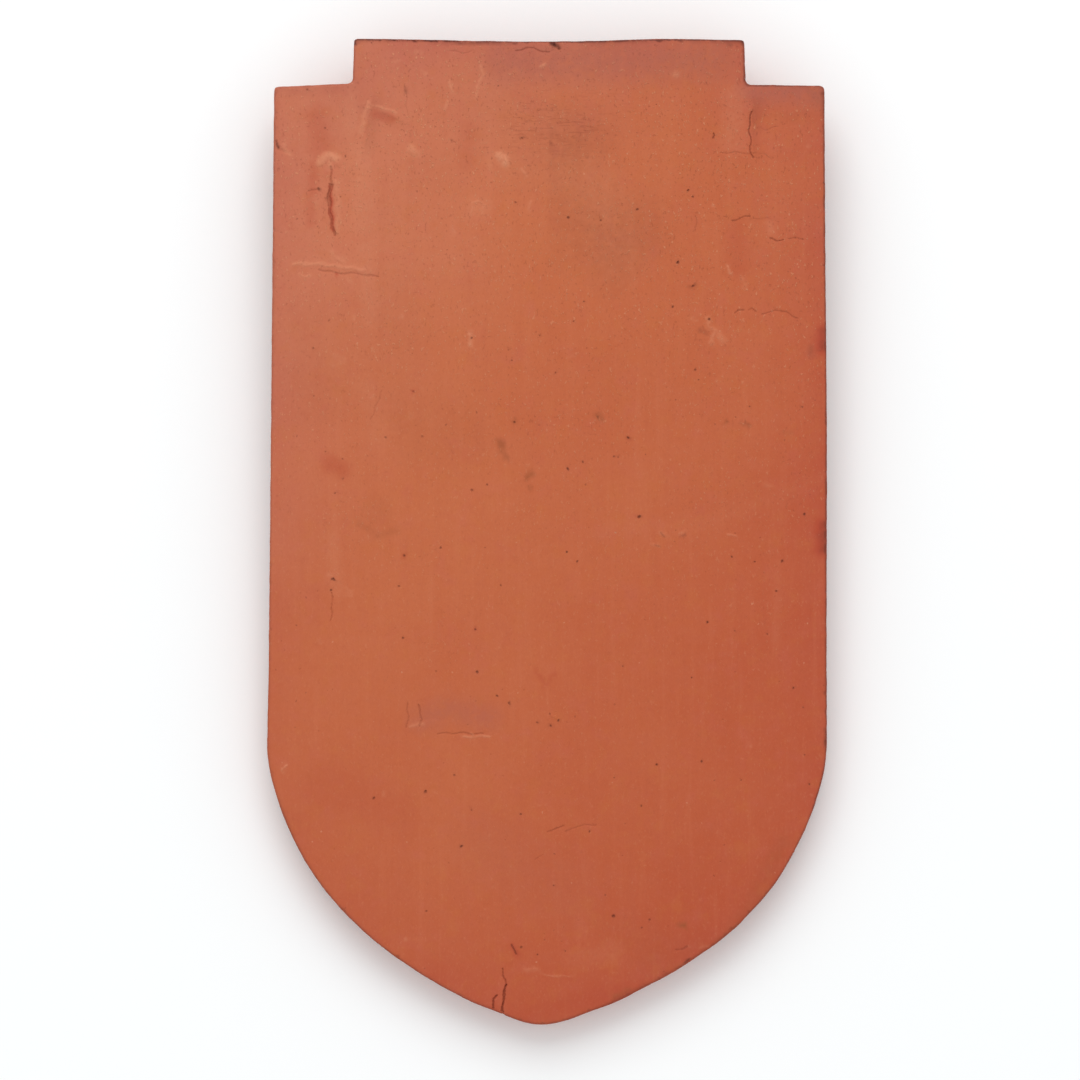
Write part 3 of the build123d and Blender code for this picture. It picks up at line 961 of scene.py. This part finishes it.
# The clay is mottled pinker and yellower
colour = blend(colour, pink_mottle, ease(cloud(140.0, 4.0, 0.6), 0.5, 0.75, 0.0, 0.2))
colour = blend(colour, yellow_mottle, ease(cloud(170.0, 4.0, 0.6), 0.5, 0.75, 0.0, 0.2))
colour = blend(colour, brown_mottle, ease(cloud(300.0, 3.0, 0.6), 0.5, 0.75, 0.0, 0.12))
# The skin is torn more finely at the head, where the strike dragged, than at the tail
torn = ease(sum_up("ADD", along_tile, off_middle(cloud(45.0, 3.0), 1.6)), -0.5, 1.1, 0.2, 1.0)
drawn = node("Mapping", {"Vector": coordinates, "Scale": (1.0, 0.55, 1.0)}).outputs[0]
grain = cloud(1500.0, 3.0, 0.7, drawn)
flecks = cloud(1400.0, 2.0, 0.6, drawn)
low_flecks = sum_up("MULTIPLY", ease(flecks, 0.37, 0.28), torn)
high_flecks = sum_up("MULTIPLY", ease(flecks, 0.60, 0.70), torn)
colour = blend(colour, dark_grain, ease(grain, 0.52, 0.8, 0.0, 0.16))
colour = blend(colour, light_grain, ease(grain, 0.48, 0.2, 0.0, 0.14))
colour = blend(colour, dark_fleck, sum_up("MULTIPLY", low_flecks, 0.24))
colour = blend(colour, light_fleck, sum_up("MULTIPLY", high_flecks, 0.45))
# Streaks of the strike, along the tile
streaked = node("Mapping", {"Vector": coordinates, "Scale": (1.0, 0.04, 1.0)}).outputs[0]
streaks = cloud(380.0, 3.0, 0.6, streaked)
colour = blend(colour, light_streak, ease(streaks, 0.5, 0.75, 0.0, 0.1))
colour = blend(colour, dark_streak, ease(streaks, 0.5, 0.25, 0.0, 0.1))
# Marks, each broken up a little
broken = ease(cloud(420.0, 3.0, 0.6), 0.25, 0.6, 0.45, 1.0)
dusted = ease(cloud(700.0, 4.0, 0.7), 0.3, 0.6, 0.35, 0.95)
colour = blend(colour, greyed_clay, sum_up("MULTIPLY", layer("grey"), broken))
colour = blend(colour, burnt_clay, layer("burnt"))
crazing = node("Mapping", {"Vector": coordinates, "Scale": (0.2, 1.0, 1.0)}).outputs[0]
hairlines = sum_up("MULTIPLY", ease(cloud(1600.0, 2.0, 0.5, crazing), 0.44, 0.36), layer("crazed"))
colour = blend(colour, crack_colour, sum_up("MULTIPLY", hairlines, 0.22))
colour = blend(colour, dust_smear, sum_up("MULTIPLY", layer("dust"), dusted))
colour = blend(colour, brown_stain, sum_up("MULTIPLY", layer("brown"), broken))
# Dirt and painted shade in the cuts, pits, pores and chips
colour = blend(colour, dirt_and_shade_colour, sum_up("MULTIPLY", layer("dirt_and_shade"), broken))
# Painted shade along the upper arris, darkest at the head and on the right
colour = blend(colour, rim_shade_colour, sum_up("MULTIPLY", layer("rim"), broken))
# Specks of grog, dark and light
nudge = node("TexNoise", {"Vector": coordinates, "Scale": 900.0}).outputs["Color"]
nudged = node("Mix", {0: 0.0012, 4: coordinates, 5: nudge}, data_type="VECTOR").outputs[1]
specks = node("TexVoronoi", {"Vector": nudged, "Scale": 330.0})
speck = ease(specks.outputs["Distance"], 0.12, 0.05)
chance = node("SeparateXYZ", {0: specks.outputs["Color"]}).outputs
dark_speck = sum_up("MULTIPLY", speck, ease(chance["X"], 0.88, 0.94))
light_speck = sum_up("MULTIPLY", speck, ease(chance["Y"], 0.92, 0.96))
colour = blend(colour, dark_grog, sum_up("MULTIPLY", dark_speck, 0.4))
colour = blend(colour, light_grog, sum_up("MULTIPLY", light_speck, 0.5))

skin = sum_up("ADD", sum_up("MULTIPLY", grain, 0.4), sum_up("MULTIPLY", cloud(480.0, 3.0, 0.6), 0.6))
skin = sum_up("ADD", skin, sum_up("MULTIPLY", streaks, 0.4))
skin = sum_up("ADD", skin, sum_up("SUBTRACT", high_flecks, low_flecks))
skin = sum_up("SUBTRACT", skin, sum_up("MULTIPLY", hairlines, 0.35))
skin = sum_up("SUBTRACT", skin, sum_up("MULTIPLY", dark_speck, 0.5))
bumps = node("Bump", {"Height": skin, "Strength": 0.8, "Distance": 0.00013})
finish = node("BsdfPrincipled", {
    "Base Color": colour,
    "Roughness": ease(cloud(260.0, 3.0), 0.3, 0.7, 0.78, 0.94),
    "Normal": bumps.outputs[0],
    "Specular IOR Level": 0.25,
})
node("OutputMaterial", {"Surface": finish.outputs[0]})
tile.data.materials.clear()
tile.data.materials.append(clay)

# Resting on a level floor
# Nothing holds the tile: it lies as it would be put down to be looked at, weather face up, on the
# foot of its two nibs and the lower arris of its point, so its head stands up from the floor.
rest_tilt = atan2(-face_normal.y, face_normal.z)
tile.rotation_euler = (rest_tilt, 0.0, 0.0)
alone(tile)
bpy.ops.object.transform_apply(location=False, rotation=True, scale=False)
places = places_of(tile.data)
rest_y = (low_corner.y + high_corner.y - places[:, 1].min() - places[:, 1].max()) / 2
rest_z = -places[:, 2].min()
tile.location = (0.0, rest_y, rest_z)
bpy.ops.object.transform_apply(location=True, rotation=False, scale=False)
lying = Matrix.Translation((0.0, rest_y, rest_z)) @ Matrix.Rotation(rest_tilt, 4, "X")
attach(tile, "root")
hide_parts("roof_tile")

# Floor
# A plain matt floor of white paper, a trace cool, that runs well past the picture on every side. It
# keeps the shadow that the tile throws on it.
floor_size = 8.0
floor_colour = (0.935, 0.955, 0.96, 1.0)
bpy.ops.object.select_all(action="DESELECT")
bpy.ops.mesh.primitive_plane_add(size=floor_size, location=(0.0, 0.0, 0.0))
floor = bpy.context.active_object
floor.name = "floor"
paper = bpy.data.materials.new("floor")
paper.use_nodes = True
tree = paper.node_tree
tree.nodes.clear()
matt = node("BsdfDiffuse", {"Color": floor_colour})
node("OutputMaterial", {"Surface": matt.outputs[0]})
floor.data.materials.append(paper)

# Light
# A white surround lights the tile from all round, and one large soft lamp stands beyond its head,
# high up and slightly to the left. Together they light a level face with a strength of about 1.
surround_share = 0.79
lamp_watts = 27.0
lamp_size = 1.8
lamp_distance = 2.4
lamp_height = radians(47.0)
lamp_turn = radians(4.0)
world = bpy.data.worlds.new("surround")
bpy.context.scene.world = world
world.use_nodes = True
tree = world.node_tree
tree.nodes.clear()
glow = node("Background", {"Color": (1.0, 1.0, 1.0, 1.0), "Strength": surround_share})
node("OutputWorld", {"Surface": glow.outputs[0]})

level_way = cos(lamp_height)
lamp_way = Vector((-sin(lamp_turn) * level_way, cos(lamp_turn) * level_way, sin(lamp_height)))
bpy.ops.object.light_add(type="AREA", location=lamp_way * lamp_distance)
lamp = bpy.context.active_object
lamp.name = "lamp"
lamp.rotation_euler = lamp_way.to_track_quat("Z", "Y").to_euler()
lamp.data.size = lamp_size
lamp.data.energy = lamp_watts
lamp.visible_camera = False

# Camera
# Straight above the weather face and square to it, with a long lens. It is turned a little, and the
# tile stands a little off the centre of the picture.
seen_width = 0.3286
lens = 200.0
aim_x = -0.00245
aim_y = head_y - tile_length / 2 - 0.00244
camera_roll = radians(0.168)
bpy.ops.object.camera_add()
camera = bpy.context.active_object
camera.data.lens = lens
camera.data.clip_end = 20.0
distance = seen_width * lens / camera.data.sensor_width
aim = Matrix.Translation((aim_x, aim_y, slab_thickness))
roll = Matrix.Rotation(camera_roll, 4, "Z")
camera.matrix_world = lying @ aim @ roll @ Matrix.Translation((0, 0, distance))
bpy.context.scene.camera = camera
bpy.context.scene.view_settings.view_transform = "Standard"
